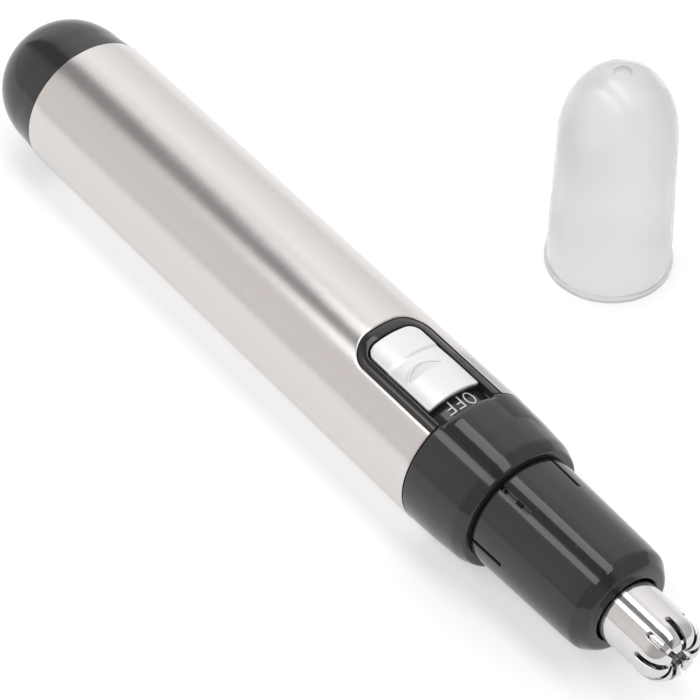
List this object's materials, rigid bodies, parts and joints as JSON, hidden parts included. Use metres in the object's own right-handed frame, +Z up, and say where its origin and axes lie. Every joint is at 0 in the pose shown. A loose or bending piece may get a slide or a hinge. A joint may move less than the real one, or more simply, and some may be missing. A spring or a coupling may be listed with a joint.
{
  "type": "nose hair trimmer",
  "caption": "Pen-shaped battery nose hair trimmer with a steel grip, slide switch, slotted rotary tip, and a bullet-shaped translucent cap standing beside it.",
  "frame": {"origin": "on the table, at the middle of the footprint of the lying trimmer and its standing cap", "axes": "+X along the trimmer to the cutting tip, +Y from the trimmer to its protective cap, +Z up through the switch"},
  "size_m": [0.1286, 0.0597, 0.0318],
  "materials": {
    "stainless": "fine circumferential brushing",
    "black_gloss": "high gloss moulding",
    "black_matte": "fine spark texture",
    "button_silver": "satin silver metallic paint",
    "legend_white": "pad-printed",
    "chrome_tip": "polished",
    "blade_steel": "ground",
    "nickel": "nickel plated",
    "copper": "bright copper",
    "bronze": "sintered, oiled",
    "motor_steel": "zinc plated",
    "lamination": "stacked laminations",
    "magnet": "sintered ferrite",
    "rubber_black": "matte",
    "nylon_white": "natural nylon",
    "cell_steel": "nickel plated can",
    "cell_mix": "pressed powder",
    "cell_jacket": "printed shrink film",
    "cap_milky": "translucent milky"
  },
  "bodies": {
    "trimmer": {"steel_sleeve": "stainless", "switch_bezel": "black_gloss", "switch_legend": "legend_white", "front_collar": "black_gloss", "battery_tube": "black_matte", "positive_contact": "nickel", "negative_strip": "nickel", "front_chassis": "black_matte", "switch_contacts": "copper", "motor_can": "motor_steel", "motor_end_cap": "nylon_white", "motor_terminals": "copper", "motor_magnets": "magnet", "motor_bushings": "bronze", "motor_screws": "motor_steel", "head_seal": "rubber_black"},
    "switch": {"switch_button": "button_silver", "switch_carrier": "nylon_white", "switch_wiper": "copper"},
    "rotor": {"motor_shaft": "blade_steel", "motor_armature": "lamination", "motor_windings": "copper", "motor_commutator": "copper", "drive_hub": "nylon_white", "drive_spring": "nickel"},
    "head": {"head_shell": "black_gloss", "stem_bush": "bronze", "foil_guard": "chrome_tip"},
    "cutter": {"rotor_blade": "blade_steel", "blade_stem": "blade_steel"},
    "rear_end": {"rear_cap": "black_gloss", "rear_seal": "rubber_black", "negative_plate": "nickel", "battery_spring": "nickel"},
    "battery": {"battery_can": "cell_steel", "battery_core": "cell_mix", "battery_jacket": "cell_jacket"},
    "cover": {"protective_cap": "cap_milky"}
  },
  "joints": [
    {"name": "switch_slide", "type": "slide", "parent": "trimmer", "child": "switch", "axis": [1, 0, 0], "range_m": [0, 0.0022]},
    {"name": "motor_spin", "type": "hinge", "parent": "trimmer", "child": "rotor", "pos_m": [-0.0518, -0.02035, 0.0095], "axis": [1, 0, 0], "continuous": true},
    {"name": "head_pull", "type": "slide", "parent": "trimmer", "child": "head", "axis": [1, 0, 0], "range_m": [0, 0.03]},
    {"name": "cutter_spin", "type": "hinge", "parent": "head", "child": "cutter", "pos_m": [-0.0518, -0.02035, 0.0095], "axis": [1, 0, 0], "continuous": true},
    {"name": "battery_slide", "type": "slide", "parent": "trimmer", "child": "battery", "axis": [-1, 0, 0], "range_m": [0, 0.054]},
    {"name": "rear_cap_pull", "type": "slide", "parent": "trimmer", "child": "rear_end", "axis": [-1, 0, 0], "range_m": [0, 0.09]},
    {"name": "cap_lift", "type": "slide", "parent": "trimmer", "child": "cover", "axis": [0, 0, 1], "range_m": [0, 0.05]}
  ],
  "couplings": [
    {"joint": "cutter_spin", "follows": "motor_spin", "ratio": 1},
    {"joint": "rear_cap_pull", "follows": "battery_slide", "ratio": 1.6666}
  ]
}
